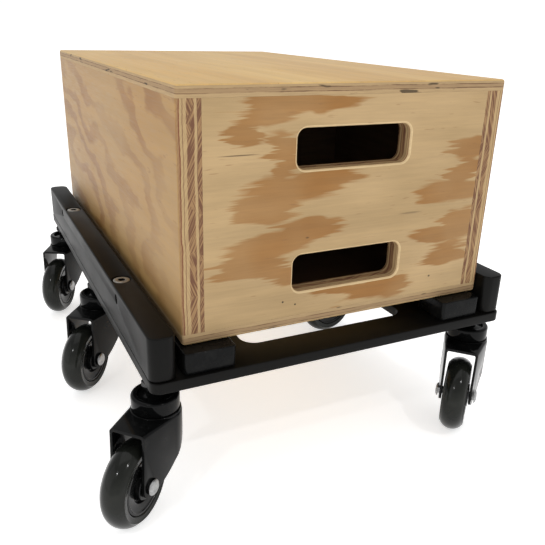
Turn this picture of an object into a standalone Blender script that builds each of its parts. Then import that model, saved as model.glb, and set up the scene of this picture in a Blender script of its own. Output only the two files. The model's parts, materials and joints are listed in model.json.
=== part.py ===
"""Apple-box dolly: a flat plate with two rails on six swivel casters, carrying a plywood box.

Row frame: origin on the floor under the middle of the frame, +X to the dolly's right,
+Y away from its front end, +Z up. Lengths are in metres.
"""

import math

import bmesh
import bpy
from mathutils import Matrix, Vector

INCH = 0.0254
MM = 0.001
GAP = 0.3 * MM

# Driving dimensions: the plywood box.
BOX_W = 12.0 * INCH
BOX_D = 20.0 * INCH
BOX_H = 8.0 * INCH
BOX_OFFSET = (4.1 * MM, 12.0 * MM)
BOX_SKIN = 9.6 * MM
BOX_WALL = 0.75 * INCH
BOX_ROUND = 2.5 * MM
DIVIDER_T = 0.5 * INCH
HAND_W = 108.0 * MM
HAND_H = 33.0 * MM
HAND_R = 8.0 * MM
HAND_HEIGHTS = (47.5 * MM, 152.4 * MM)

# Driving dimensions: the frame.
FRAME_W = 359.0 * MM
PLATE_L = 519.0 * MM
PLATE_T = 0.375 * INCH
PLATE_CORNER_R = 8.5 * MM
OPENING_W = 170.0 * MM
OPENING_L = 449.0 * MM
OPENING_R = 14.0 * MM
RAIL_W = 22.5 * MM
RAIL_H = 1.5 * INCH
RAIL_L = 515.0 * MM
RAIL_CORNER_R = 8.5 * MM
PAD_W = 44.5 * MM
PAD_D = 38.0 * MM
PAD_H = 0.75 * INCH
PAD_R = 3.5 * MM
PAD_SIDE_X = 129.0 * MM
PAD_END_INSET = 3.7 * MM
EDGE_BEVEL = 1.2 * MM

# Driving dimensions: the rail screws and the side holes.
SCREW_PITCH = 10.0 * INCH
SCREW_HEAD_R = 7.8 * MM
SCREW_HEAD_H = 4.2 * MM
SCREW_SHANK_R = 4.0 * MM
SCREW_LENGTH = 30.0 * MM
SINK_R = 9.0 * MM
SIDE_HOLE_R = 4.5 * MM
SIDE_HOLE_DEPTH = 10.0 * MM
SIDE_HOLE_PITCH = 298.0 * MM
SIDE_HOLE_DROP = 9.5 * MM

# Driving dimensions: the casters.
WHEEL_R = 37.5 * MM
TYRE_W = 24.0 * MM
CORE_R = 25.5 * MM
HUB_W = 25.4 * MM
TRAIL = 37.0 * MM
CASTER_PITCH = 9.0 * INCH
CASTER_X = 168.8 * MM
PLATE_UNDERSIDE = 116.42 * MM
HEAD_R = 20.4 * MM
HEAD_TOP = 101.5 * MM
CROWN_TOP = 88.0 * MM
CROWN_T = 3.0 * MM
STEM_R = 6.0 * MM
STEM_TOP = 141.0 * MM
AXLE_R = 4.0 * MM
BEARING_R = 8.0 * MM
FORK_SHEET = 2.5 * MM
FORK_HALF_REAR = 22.0 * MM
FORK_HALF_FRONT = 15.2 * MM
FORK_FRONT_X = 50.0 * MM
AXLE_FACE = 18.2 * MM
AXLE_HEAD_R = 6.8 * MM
AXLE_END = 19.3 * MM
LEG_TIP_R = 9.6 * MM

# Heading of each caster's wheel from its swivel axis, degrees from +X.
CASTER_HEADINGS = {
    "front_left": -137.5,
    "middle_left": -130.0,
    "rear_left": -120.0,
    "front_right": -137.5,
    "middle_right": -173.0,
    "rear_right": 43.0,
}

PLATE_TOP = PLATE_UNDERSIDE + PLATE_T
RAIL_BOTTOM = PLATE_TOP + GAP
RAIL_TOP = RAIL_BOTTOM + RAIL_H
RAIL_X = (FRAME_W - RAIL_W) / 2.0
BOX_BOTTOM = PLATE_TOP + GAP + PAD_H + GAP

# Colours, roughness and metallic value of each finish.
FINISHES = {
    "black_powder_coat": ((0.018, 0.018, 0.019), 0.38, 0.1),
    "black_gloss": ((0.012, 0.013, 0.014), 0.22, 0.3),
    "plated_steel": ((0.55, 0.55, 0.54), 0.35, 1.0),
    "black_nylon": ((0.02, 0.02, 0.021), 0.35, 0.0),
    "smoke_urethane": ((0.09, 0.095, 0.09), 0.25, 0.0),
    "birch_ply": ((0.62, 0.44, 0.24), 0.55, 0.0),
}


def clear_scene():
    for old in list(bpy.data.objects):
        bpy.data.objects.remove(old, do_unlink=True)


def make_finish(name):
    colour, roughness, metallic = FINISHES[name]
    material = bpy.data.materials.new(name)
    material.use_nodes = True
    shader = material.node_tree.nodes["Principled BSDF"]
    shader.inputs["Base Color"].default_value = (*colour, 1.0)
    shader.inputs["Roughness"].default_value = roughness
    shader.inputs["Metallic"].default_value = metallic
    return material


def add_object(name, mesh, finish=None, parent=None):
    thing = bpy.data.objects.new(name, mesh)
    bpy.context.scene.collection.objects.link(thing)
    if finish is not None and not mesh.materials:
        mesh.materials.append(finish)
    if parent is not None:
        thing.parent = parent
    return thing


def add_empty(name, place, turn_deg=0.0, parent=None):
    empty = bpy.data.objects.new(name, None)
    bpy.context.scene.collection.objects.link(empty)
    empty.location = place
    empty.rotation_euler = (0.0, 0.0, math.radians(turn_deg))
    empty.parent = parent
    return empty


def mesh_from(bm, name, smooth_deg=None):
    bmesh.ops.recalc_face_normals(bm, faces=bm.faces)
    mesh = bpy.data.meshes.new(name)
    bm.to_mesh(mesh)
    bm.free()
    if smooth_deg is not None:
        mesh.shade_smooth()
        mesh.set_sharp_from_angle(angle=math.radians(smooth_deg))
    return mesh


def rounded_outline(width, depth, radius, steps=4):
    """Points of a rectangle with round corners, centred on the origin."""
    points = []
    corners = ((1, 1, 0), (-1, 1, 90), (-1, -1, 180), (1, -1, 270))
    for side_x, side_y, start in corners:
        centre_x = side_x * (width / 2.0 - radius)
        centre_y = side_y * (depth / 2.0 - radius)
        for step in range(steps + 1):
            angle = math.radians(start + 90.0 * step / steps)
            points.append((centre_x + radius * math.cos(angle), centre_y + radius * math.sin(angle)))
    return points


def prism(name, outline, low, high, bevel=0.0):
    """A closed prism over an XY outline from z=low to z=high, its rims bevelled."""
    bm = bmesh.new()
    base = bm.faces.new([bm.verts.new((x, y, low)) for x, y in outline])
    grown = bmesh.ops.extrude_face_region(bm, geom=[base])
    lifted = [item for item in grown["geom"] if isinstance(item, bmesh.types.BMVert)]
    bmesh.ops.translate(bm, verts=lifted, vec=(0.0, 0.0, high - low))
    if bevel > 0.0:
        rims = [e for e in bm.edges if abs(e.verts[0].co.z - e.verts[1].co.z) < 1e-7]
        bmesh.ops.bevel(bm, geom=rims, offset=bevel, segments=1, affect="EDGES")
    return mesh_from(bm, name)


def block(name, low, high, bevel=0.0, segments=2):
    """A closed box between two corners, all its edges rounded."""
    bm = bmesh.new()
    bmesh.ops.create_cube(bm, size=1.0)
    size = Vector(high) - Vector(low)
    middle = (Vector(high) + Vector(low)) / 2.0
    bmesh.ops.scale(bm, vec=size, verts=bm.verts)
    bmesh.ops.translate(bm, vec=middle, verts=bm.verts)
    if bevel > 0.0:
        bmesh.ops.bevel(bm, geom=bm.edges, offset=bevel, segments=segments, affect="EDGES")
    return mesh_from(bm, name)


def turned(name, profile, steps, closed=False, smooth_deg=35.0):
    """Spin (radius, height) points about the Z axis into one closed body."""
    bm = bmesh.new()
    points = [bm.verts.new((radius, 0.0, height)) for radius, height in profile]
    edges = [bm.edges.new(pair) for pair in zip(points, points[1:])]
    if closed:
        edges.append(bm.edges.new((points[-1], points[0])))
    bmesh.ops.spin(bm, geom=points + edges, cent=(0, 0, 0), axis=(0, 0, 1),
                   angle=math.tau, steps=steps, use_merge=True)
    bmesh.ops.remove_doubles(bm, verts=bm.verts, dist=1e-6)
    return mesh_from(bm, name, smooth_deg)


def add_cutter(name, mesh, parent=None):
    cutter = add_object(name, mesh, parent=parent)
    cutter.hide_render = True
    cutter.display_type = "WIRE"
    return cutter


def cut(target, cutter, operation="DIFFERENCE"):
    modifier = target.modifiers.new(cutter.name, "BOOLEAN")
    modifier.operation = operation
    modifier.object = cutter
    return modifier


def cylinder_mesh(name, radius, low, high, sides=20):
    outline = [(radius * math.cos(math.tau * i / sides), radius * math.sin(math.tau * i / sides))
               for i in range(sides)]
    return prism(name, outline, low, high)


def shift(mesh, offset):
    mesh.transform(Matrix.Translation(offset))
    return mesh


# ---------------------------------------------------------------- frame


def caster_stations():
    """Name, x and y of each caster's swivel axis."""
    for side, x in (("left", -CASTER_X), ("right", CASTER_X)):
        for row, y in (("front", -CASTER_PITCH), ("middle", 0.0), ("rear", CASTER_PITCH)):
            yield f"{row}_{side}", x, y


def joined_cutter(name, meshes):
    """One cutter object from several separate closed meshes."""
    bm = bmesh.new()
    for mesh in meshes:
        bm.from_mesh(mesh)
    return add_cutter(name, mesh_from(bm, name))


def build_plate(finish):
    outline = rounded_outline(FRAME_W, PLATE_L, PLATE_CORNER_R)
    plate = add_object("base_plate", prism("base_plate", outline, PLATE_UNDERSIDE, PLATE_TOP, EDGE_BEVEL), finish)
    window = rounded_outline(OPENING_W, OPENING_L, OPENING_R)
    meshes = [prism("window", window, PLATE_UNDERSIDE - PLATE_T, PLATE_TOP + PLATE_T)]
    for name, x, y in caster_stations():
        hole = cylinder_mesh(name, STEM_R + GAP, PLATE_UNDERSIDE - PLATE_T, PLATE_TOP + PLATE_T, 16)
        meshes.append(shift(hole, (x, y, 0.0)))
    cut(plate, joined_cutter("plate_holes", meshes))


def screw_profile(clearance):
    """Flat-head screw from its top down, or its pocket when clearance is positive."""
    head_r = SINK_R if clearance > 0.0 else SCREW_HEAD_R
    top = RAIL_TOP + (MM if clearance > 0.0 else -0.4 * MM)
    neck = RAIL_TOP - 0.4 * MM - SCREW_HEAD_H
    return [(0.0, top), (head_r, top), (head_r, RAIL_TOP - 1.2 * MM),
            (SCREW_SHANK_R + clearance, neck), (SCREW_SHANK_R + clearance, RAIL_TOP - SCREW_LENGTH - clearance),
            (0.0, RAIL_TOP - SCREW_LENGTH - clearance)]


def socket_cutter(x, y):
    """Hexagonal socket in a screw's head."""
    mesh = cylinder_mesh("socket", 2.6 * MM, RAIL_TOP - 3.4 * MM, RAIL_TOP + MM, 6)
    return add_cutter("socket", shift(mesh, (x, y, 0.0)))


def build_rail(side, sign, finish, screw_finish):
    middle_x = sign * RAIL_X
    x = sign * CASTER_X
    outline = rounded_outline(RAIL_W, RAIL_L, RAIL_CORNER_R)
    mesh = shift(prism(f"{side}_rail", outline, RAIL_BOTTOM, RAIL_TOP, EDGE_BEVEL), (middle_x, 0.0, 0.0))
    rail = add_object(f"{side}_rail", mesh, finish)
    meshes = []
    for y in (-CASTER_PITCH, 0.0, CASTER_PITCH):
        hole = cylinder_mesh("stem_hole", STEM_R + GAP, RAIL_BOTTOM - MM, STEM_TOP + GAP, 16)
        meshes.append(shift(hole, (x, y, 0.0)))
    for y in (-SCREW_PITCH / 2.0, SCREW_PITCH / 2.0):
        pocket = turned("screw_pocket", screw_profile(GAP), 16)
        meshes.append(shift(pocket, (x, y, 0.0)))
    for y in (-SIDE_HOLE_PITCH / 2.0, SIDE_HOLE_PITCH / 2.0):
        hole = cylinder_mesh("side_hole", SIDE_HOLE_R, -SIDE_HOLE_DEPTH / 2.0, SIDE_HOLE_DEPTH, 14)
        hole.transform(Matrix.Rotation(math.radians(sign * 90.0), 4, "Y"))
        face_x = middle_x + sign * (RAIL_W / 2.0 - SIDE_HOLE_DEPTH / 2.0)
        meshes.append(shift(hole, (face_x, y, RAIL_TOP - SIDE_HOLE_DROP)))
    cut(rail, joined_cutter(f"{side}_rail_holes", meshes))
    for row, y in (("front", -SCREW_PITCH / 2.0), ("rear", SCREW_PITCH / 2.0)):
        screw_mesh = shift(turned("rail_screw", screw_profile(0.0), 16), (x, y, 0.0))
        screw = add_object(f"rail_screw_{row}_{side}", screw_mesh, screw_finish)
        cut(screw, socket_cutter(x, y))


def build_pads(finish):
    outline = rounded_outline(PAD_W, PAD_D, PAD_R, steps=3)
    low = PLATE_TOP + GAP
    pad_y = PLATE_L / 2.0 - PAD_END_INSET - PAD_D / 2.0
    for side, sign in (("left", -1.0), ("right", 1.0)):
        for row, way in (("front", -1.0), ("rear", 1.0)):
            name = f"rest_pad_{row}_{side}"
            mesh = prism(name, outline, low, low + PAD_H, EDGE_BEVEL)
            add_object(name, shift(mesh, (sign * PAD_SIDE_X, way * pad_y, 0.0)), finish)


# ---------------------------------------------------------------- caster


def swivel_head_mesh():
    """Threaded stem, collar, pressed cup, king pin and its riveted end, as one turned piece."""
    cup_bottom = CROWN_TOP + GAP
    pin_flange = CROWN_TOP - CROWN_T - GAP
    profile = [(0.0, STEM_TOP), (STEM_R, STEM_TOP), (STEM_R, 112.5 * MM), (11.0 * MM, 112.5 * MM),
               (11.0 * MM, 106.5 * MM), (8.0 * MM, 106.5 * MM), (8.0 * MM, HEAD_TOP - 2.0 * MM),
               (HEAD_R - 2.6 * MM, HEAD_TOP - 2.0 * MM), (HEAD_R - 1.6 * MM, HEAD_TOP),
               (HEAD_R, HEAD_TOP - 1.2 * MM), (HEAD_R, cup_bottom), (STEM_R, cup_bottom),
               (STEM_R, pin_flange), (9.0 * MM, pin_flange), (8.0 * MM, pin_flange - 2.5 * MM),
               (0.0, pin_flange - 2.5 * MM)]
    return turned("swivel_head", profile, 16)


def leg_outline():
    """Side outline of the fork in X and Z, open above the crown, round the axle tip."""
    over = CROWN_TOP + 5.0 * MM
    under_crown = CROWN_TOP - CROWN_T - 1.5 * MM
    points = [(-30.0 * MM, over), (43.0 * MM, over), (43.0 * MM, CROWN_TOP - 1.0 * MM)]
    for angle in range(0, -151, -30):
        turn = math.radians(angle)
        points.append((TRAIL + LEG_TIP_R * math.cos(turn), WHEEL_R + LEG_TIP_R * math.sin(turn)))
    points += [(16.0 * MM, 36.5 * MM), (7.5 * MM, 42.4 * MM), (-1.0 * MM, 49.5 * MM),
               (-6.5 * MM, 57.0 * MM), (-9.8 * MM, 67.0 * MM), (-10.5 * MM, under_crown),
               (-30.0 * MM, under_crown)]
    return points


def fork_plan():
    """Plan outline of the fork: round behind the swivel axis, narrowing to the front."""
    points = [(FORK_FRONT_X, -FORK_HALF_FRONT), (FORK_FRONT_X, FORK_HALF_FRONT)]
    for angle in range(75, 286, 30):
        turn = math.radians(angle)
        points.append((FORK_HALF_REAR * math.cos(turn), FORK_HALF_REAR * math.sin(turn)))
    return points


def slot_plan():
    """Plan outline of the space between the legs, open in front and behind."""
    turn = math.radians(75.0)
    knee_x = FORK_HALF_REAR * math.cos(turn)
    knee_y = FORK_HALF_REAR * math.sin(turn) - FORK_SHEET
    front_y = FORK_HALF_FRONT - FORK_SHEET
    side = [(FORK_FRONT_X, front_y), (knee_x, knee_y), (-2.0 * FORK_HALF_REAR, knee_y)]
    return side + [(x, -y) for x, y in reversed(side)]


def fork_mesh():
    """The stamped yoke: its plan limited by the side outline, then hollowed between its legs."""
    low = WHEEL_R - 14.0 * MM
    fork = add_object("fork", prism("fork", fork_plan(), low, CROWN_TOP))
    side = prism("fork_side", leg_outline(), -30.0 * MM, 30.0 * MM)
    side.transform(Matrix.Rotation(math.radians(90.0), 4, "X"))
    slot = prism("fork_slot", slot_plan(), low - 5.0 * MM, CROWN_TOP - CROWN_T)
    king_hole = cylinder_mesh("king_hole", STEM_R + GAP, CROWN_TOP - 2.0 * CROWN_T, CROWN_TOP + MM, 16)
    axle_hole = cylinder_mesh("axle_hole", AXLE_R + GAP, -30.0 * MM, 30.0 * MM, 14)
    axle_hole.transform(Matrix.Rotation(math.radians(90.0), 4, "X"))
    shift(axle_hole, (TRAIL, 0.0, WHEEL_R))
    cutters = [add_cutter("fork_side", side)]
    cut(fork, cutters[0], "INTERSECT")
    for mesh in (slot, king_hole, axle_hole):
        cutters.append(add_cutter(mesh.name, mesh))
        cut(fork, cutters[-1])
    bpy.context.view_layer.update()
    shaped = fork.evaluated_get(bpy.context.evaluated_depsgraph_get())
    bm = bmesh.new()
    bm.from_mesh(shaped.to_mesh())
    bmesh.ops.remove_doubles(bm, verts=bm.verts, dist=0.02 * MM)
    for helper in [fork] + cutters:
        bpy.data.objects.remove(helper, do_unlink=True)
    return mesh_from(bm, "fork")


def tyre_mesh():
    """Round-treaded tyre with straight beads against the core."""
    half = TYRE_W / 2.0
    bead = CORE_R + GAP
    shoulder = WHEEL_R - 11.0 * MM
    profile = [(bead, -half + 1.5 * MM), (shoulder - MM, -half)]
    for angle in range(-72, 73, 24):
        turn = math.radians(angle)
        profile.append((shoulder + 11.0 * MM * math.cos(turn), half * math.sin(turn)))
    profile += [(shoulder - MM, half), (bead, half - 1.5 * MM)]
    return turned("tyre", profile, 24, closed=True)


def core_mesh():
    """Wheel core: a rim, a thinner web and a hub boss bored for the bearing sleeve."""
    rim = TYRE_W / 2.0 - 1.5 * MM
    hub = HUB_W / 2.0
    bore = BEARING_R + GAP
    half = [(bore, hub), (12.5 * MM, hub), (13.5 * MM, 8.5 * MM), (21.0 * MM, 8.5 * MM),
            (22.0 * MM, rim), (CORE_R, rim)]
    profile = half + [(radius, -height) for radius, height in reversed(half)]
    return turned("wheel_core", profile, 20, closed=True)


def bearing_mesh():
    hub = HUB_W / 2.0 + 0.2 * MM
    inner = AXLE_R + GAP
    profile = [(inner, hub), (BEARING_R, hub), (BEARING_R, -hub), (inner, -hub)]
    return turned("wheel_bearing", profile, 12, closed=True)


def dome_profile(base):
    """Low domed head from its crown down to its face, base being the height of the face."""
    return [(0.0, base + 2.5 * MM), (4.5 * MM, base + 2.0 * MM), (AXLE_HEAD_R, base + 0.9 * MM), (AXLE_HEAD_R, base)]


def axle_bolt_mesh():
    """Plain axle with a domed round head on one side."""
    profile = dome_profile(AXLE_FACE) + [(AXLE_R, AXLE_FACE), (AXLE_R, -AXLE_END), (0.0, -AXLE_END)]
    return turned("axle_bolt", profile, 12)


def axle_nut_mesh():
    """Domed cap nut, blind-bored for the end of the axle."""
    bore = AXLE_R + GAP
    profile = [(radius, -height) for radius, height in dome_profile(AXLE_FACE)]
    profile += [(bore, -AXLE_FACE), (bore, -AXLE_END - GAP), (0.0, -AXLE_END - GAP)]
    return turned("axle_nut", profile, 12)


def build_caster(name, x, y, meshes, finishes):
    """One swivel caster; its parts hang on an empty on the swivel axis."""
    swivel = add_empty(f"swivel_{name}", (x, y, 0.0), CASTER_HEADINGS[name])
    axle = add_empty(f"axle_{name}", (TRAIL, 0.0, WHEEL_R), parent=swivel)
    axle.rotation_euler = (math.radians(-90.0), 0.0, 0.0)
    add_object(f"swivel_head_{name}", meshes["head"], finishes["black_gloss"], swivel)
    add_object(f"fork_{name}", meshes["fork"], finishes["black_gloss"], swivel)
    add_object(f"axle_bolt_{name}", meshes["bolt"], finishes["plated_steel"], axle)
    add_object(f"axle_nut_{name}", meshes["nut"], finishes["plated_steel"], axle)
    add_object(f"wheel_bearing_{name}", meshes["bearing"], finishes["plated_steel"], axle)
    add_object(f"wheel_core_{name}", meshes["core"], finishes["black_nylon"], axle)
    add_object(f"tyre_{name}", meshes["tyre"], finishes["smoke_urethane"], axle)


# ---------------------------------------------------------------- plywood box


def build_box(finish):
    """Seven plywood panels, butted with the assembly gap, standing on the rest pads."""
    seat = add_empty("box_seat", (BOX_OFFSET[0], BOX_OFFSET[1], BOX_BOTTOM))
    half_w = BOX_W / 2.0
    half_d = BOX_D / 2.0
    low = BOX_SKIN + GAP
    high = BOX_H - BOX_SKIN - GAP
    skins = (("box_bottom", 0.0, BOX_SKIN), ("box_top", BOX_H - BOX_SKIN, BOX_H))
    for name, bottom, top in skins:
        mesh = block(name, (-half_w, -half_d, bottom), (half_w, half_d, top), BOX_ROUND)
        add_object(name, mesh, finish, seat)
    for side, sign in (("left", -1.0), ("right", 1.0)):
        inner = sign * (half_w - BOX_WALL)
        outer = sign * half_w
        mesh = block(f"box_{side}_side", (min(inner, outer), -half_d, low), (max(inner, outer), half_d, high), MM, 1)
        add_object(f"box_{side}_side", mesh, finish, seat)
    inner_w = half_w - BOX_WALL - GAP
    hole_outline = rounded_outline(HAND_W, HAND_H, HAND_R)
    for row, way in (("front", -1.0), ("rear", 1.0)):
        inner = way * (half_d - BOX_WALL)
        outer = way * half_d
        mesh = block(f"box_{row}_end", (-inner_w, min(inner, outer), low), (inner_w, max(inner, outer), high), MM, 1)
        panel = add_object(f"box_{row}_end", mesh, finish, seat)
        tunnels = []
        for height in HAND_HEIGHTS:
            tunnel = prism("hand_hole", hole_outline, -BOX_WALL, BOX_WALL)
            tunnel.transform(Matrix.Rotation(math.radians(90.0), 4, "X"))
            tunnels.append(shift(tunnel, (0.0, way * (half_d - BOX_WALL / 2.0), height)))
        cutter = joined_cutter(f"{row}_hand_holes", tunnels)
        cutter.parent = seat
        cut(panel, cutter)
    divider = block("box_divider", (-inner_w, -DIVIDER_T / 2.0, low), (inner_w, DIVIDER_T / 2.0, high), MM, 1)
    add_object("box_divider", divider, finish, seat)


def main():
    clear_scene()
    finishes = {name: make_finish(name) for name in FINISHES}
    build_plate(finishes["black_powder_coat"])
    for side, sign in (("left", -1.0), ("right", 1.0)):
        build_rail(side, sign, finishes["black_powder_coat"], finishes["plated_steel"])
    build_pads(finishes["black_powder_coat"])
    meshes = {"head": swivel_head_mesh(), "fork": fork_mesh(), "bolt": axle_bolt_mesh(), "nut": axle_nut_mesh(),
              "bearing": bearing_mesh(), "core": core_mesh(), "tyre": tyre_mesh()}
    for name, x, y in caster_stations():
        build_caster(name, x, y, meshes, finishes)
    build_box(finishes["birch_ply"])


main()
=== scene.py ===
"""Looks of the apple-box dolly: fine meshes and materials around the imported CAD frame."""

import json
import math

import bmesh
import bpy
from mathutils import Matrix, Vector


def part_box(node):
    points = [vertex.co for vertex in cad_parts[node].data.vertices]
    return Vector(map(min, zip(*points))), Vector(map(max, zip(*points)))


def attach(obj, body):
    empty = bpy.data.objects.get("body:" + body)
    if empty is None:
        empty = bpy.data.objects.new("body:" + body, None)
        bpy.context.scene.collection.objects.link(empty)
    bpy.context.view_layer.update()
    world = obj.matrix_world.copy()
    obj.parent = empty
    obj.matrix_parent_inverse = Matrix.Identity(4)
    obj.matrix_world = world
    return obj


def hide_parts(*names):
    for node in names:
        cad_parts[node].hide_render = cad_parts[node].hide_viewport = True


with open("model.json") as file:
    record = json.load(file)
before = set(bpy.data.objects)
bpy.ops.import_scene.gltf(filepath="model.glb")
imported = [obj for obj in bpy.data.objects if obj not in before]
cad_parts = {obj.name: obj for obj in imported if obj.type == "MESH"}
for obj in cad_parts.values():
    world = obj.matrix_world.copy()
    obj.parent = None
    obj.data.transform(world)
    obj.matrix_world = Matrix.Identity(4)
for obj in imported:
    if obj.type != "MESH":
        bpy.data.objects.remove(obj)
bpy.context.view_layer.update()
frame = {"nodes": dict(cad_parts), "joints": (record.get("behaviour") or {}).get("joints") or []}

MM = 0.001
INCH = 0.0254

JOINTS = {joint["name"]: joint for joint in frame["joints"]}
CASTERS = [name[len("swivel_"):] for name in JOINTS if name.startswith("swivel_")]


# ---------------------------------------------------------------- camera, lights, floor

SENSOR_MM = 36.0
LENS_MM = 42.0
CAMERA_PLACE = (-0.2868, -0.6793, 0.3892)
CAMERA_TURN_DEG = (68.63, -1.49, -25.86)
WHITE = (1.0, 1.0, 1.0, 1.0)
HORIZON_LIGHT = 1.02
ZENITH_LIGHT = 0.62
FLOOR_HALF = 30.0
FLOOR_GLOW = 0.55
# Name, place, target, size and power of each area light.
AREA_LIGHTS = (
    ("overhead", (0.1, 0.3, 1.9), (0.0, 0.0, 0.2), (2.2, 2.2), 9.0),
    ("left_window", (-1.9, -0.1, 0.9), (0.0, 0.0, 0.2), (1.6, 1.4), 3.0),
    ("front_spark", (0.35, -1.3, 1.5), (0.0, 0.0, 0.15), (0.07, 0.05), 3.2),
    ("left_spark", (-1.1, -0.9, 1.3), (0.0, 0.0, 0.15), (0.06, 0.05), 2.2))


def add_camera():
    data = bpy.data.cameras.new("photo_view")
    data.sensor_width = SENSOR_MM
    data.lens = LENS_MM
    camera = bpy.data.objects.new("photo_view", data)
    camera.location = CAMERA_PLACE
    camera.rotation_euler = [math.radians(angle) for angle in CAMERA_TURN_DEG]
    bpy.context.scene.collection.objects.link(camera)
    bpy.context.scene.camera = camera


def add_area_light(name, place, target, size, power):
    data = bpy.data.lights.new(name, "AREA")
    data.shape = "RECTANGLE"
    data.size, data.size_y = size
    data.energy = power
    light = bpy.data.objects.new(name, data)
    light.location = place
    aim = Vector(target) - Vector(place)
    light.rotation_euler = aim.to_track_quat("-Z", "Y").to_euler()
    bpy.context.scene.collection.objects.link(light)


def add_world():
    """White surroundings, dimmer towards the zenith."""
    world = bpy.data.worlds.new("studio")
    world.use_nodes = True
    graph = Graph(world)
    ray = graph.add("ShaderNodeTexCoord").outputs["Generated"]
    height = graph.add("ShaderNodeSeparateXYZ", {0: ray}).outputs["Z"]
    background = graph.nodes["Background"]
    graph.feed(graph.grey_ramp(height, 0.12, 0.55, HORIZON_LIGHT, ZENITH_LIGHT),
               background.inputs["Strength"])
    graph.feed(WHITE, background.inputs["Color"])
    bpy.context.scene.world = world
    bpy.context.scene.view_settings.view_transform = "Standard"


def add_floor():
    bm = bmesh.new()
    bmesh.ops.create_grid(bm, x_segments=2, y_segments=2, size=FLOOR_HALF)
    floor = bpy.data.objects.new("floor", plain_mesh(bm, "floor"))
    bpy.context.scene.collection.objects.link(floor)
    material, shader, _ = new_material("floor_white", (0.95, 0.95, 0.95), 0.85)
    shader.inputs["Emission Color"].default_value = WHITE
    shader.inputs["Emission Strength"].default_value = FLOOR_GLOW
    floor.data.materials.append(material)


def add_studio():
    add_world()
    for light in AREA_LIGHTS:
        add_area_light(*light)
    add_floor()


# ---------------------------------------------------------------- material helpers


class Graph:
    """Short names for adding and wiring shader nodes."""

    def __init__(self, owner):
        self.tree = owner.node_tree
        self.nodes = self.tree.nodes

    def feed(self, value, socket):
        """Wires an output into an input socket, or sets the input to a constant."""
        if isinstance(value, bpy.types.NodeSocket):
            self.tree.links.new(value, socket)
        else:
            socket.default_value = value

    def add(self, kind, inputs=None, **settings):
        node = self.nodes.new(kind)
        for key, value in settings.items():
            setattr(node, key, value)
        for key, value in (inputs or {}).items():
            self.feed(value, node.inputs[key])
        return node

    def math(self, operation, *values):
        return self.add("ShaderNodeMath", dict(enumerate(values)), operation=operation).outputs[0]

    def ramp(self, factor, stops):
        """Colour ramp over (place, colour) stops, where a single number means grey."""
        node = self.add("ShaderNodeValToRGB", {"Fac": factor})
        elements = node.color_ramp.elements
        while len(elements) < len(stops):
            elements.new(0.5)
        for element, (place, colour) in zip(elements, stops):
            red_green_blue = (colour,) * 3 if isinstance(colour, float) else colour
            element.position = place
            element.color = (*red_green_blue, 1.0)
        return node.outputs["Color"]

    def grey_ramp(self, factor, low, high, start=0.0, end=1.0):
        """A number going from start, where factor is low, to end, where it is high."""
        share = self.add("ShaderNodeMapRange", {"Value": factor, "From Min": low, "From Max": high})
        return self.math("ADD", start, self.math("MULTIPLY", end - start, share.outputs["Result"]))

    def mix(self, factor, first, second, blend="MIX"):
        node = self.add("ShaderNodeMix", data_type="RGBA", blend_type=blend)
        for index, value in ((0, factor), (6, first), (7, second)):
            self.feed((*value, 1.0) if isinstance(value, tuple) else value, node.inputs[index])
        return node.outputs[2]

    def toned(self, colour, tone):
        """colour multiplied by a grey tone."""
        grey = self.add("ShaderNodeCombineColor", {"Red": tone, "Green": tone, "Blue": tone})
        return self.mix(1.0, colour, grey.outputs["Color"], "MULTIPLY")

    def place(self):
        return self.add("ShaderNodeTexCoord").outputs["Object"]

    def stretched(self, scale, rotation=(0.0, 0.0, 0.0), offset=(0.0, 0.0, 0.0)):
        return self.add("ShaderNodeMapping", {"Vector": self.place(), "Scale": scale, "Rotation": rotation,
                                              "Location": offset}).outputs["Vector"]

    def scaled(self, along, across, grain, cross, seed=(0.0, 0.0, 0.0)):
        """Coordinates stretched along the grain axis and squeezed across it."""
        scale = [0.4 * grain] * 3
        scale[along] = grain
        scale[across] = cross
        return self.stretched(scale, offset=seed)

    def noise(self, vector, scale, detail=4.0, roughness=0.5):
        return self.add("ShaderNodeTexNoise", {"Vector": vector, "Scale": scale, "Detail": detail,
                                               "Roughness": roughness}).outputs["Fac"]

    def swing(self, noise, reach):
        """A noise moved to be centred on zero, times its reach."""
        return self.math("MULTIPLY", self.math("SUBTRACT", noise, 0.5), reach)

    def pushed(self, vector, noise, reach, axis):
        """vector moved along one axis by a noise's swing."""
        move = self.add("ShaderNodeCombineXYZ", {axis: self.swing(noise, reach)}).outputs["Vector"]
        return self.add("ShaderNodeVectorMath", {0: vector, 1: move}, operation="ADD").outputs["Vector"]

    def reach(self, vector, centre, half):
        """Distance in X and Z from an ellipse's centre, 1 on its rim; centre and half size in mm."""
        inverse = (1.0 / (half[0] * MM), 0.0, 1.0 / (half[1] * MM))
        offset = (-centre[0] / half[0], 0.0, -centre[1] / half[1])
        return self.length(self.fitted(vector, inverse, offset))

    def fitted(self, vector, scale, offset):
        """vector times scale, plus offset."""
        return self.add("ShaderNodeVectorMath", {0: vector, 1: scale, 2: offset},
                        operation="MULTIPLY_ADD").outputs["Vector"]

    def length(self, vector):
        return self.add("ShaderNodeVectorMath", {0: vector}, operation="LENGTH").outputs["Value"]

    def depth(self, axis, low, high):
        """0 at low and 1 at high along one axis."""
        parts = self.add("ShaderNodeSeparateXYZ", {0: self.place()})
        return self.grey_ramp(parts.outputs[axis], low, high)


def new_material(name, colour, roughness, metallic=0.0):
    material = bpy.data.materials.new(name)
    material.use_nodes = True
    graph = Graph(material)
    shader = graph.nodes["Principled BSDF"]
    shader.inputs["Base Color"].default_value = (*colour, 1.0)
    shader.inputs["Roughness"].default_value = roughness
    shader.inputs["Metallic"].default_value = metallic
    return material, shader, graph


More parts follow.
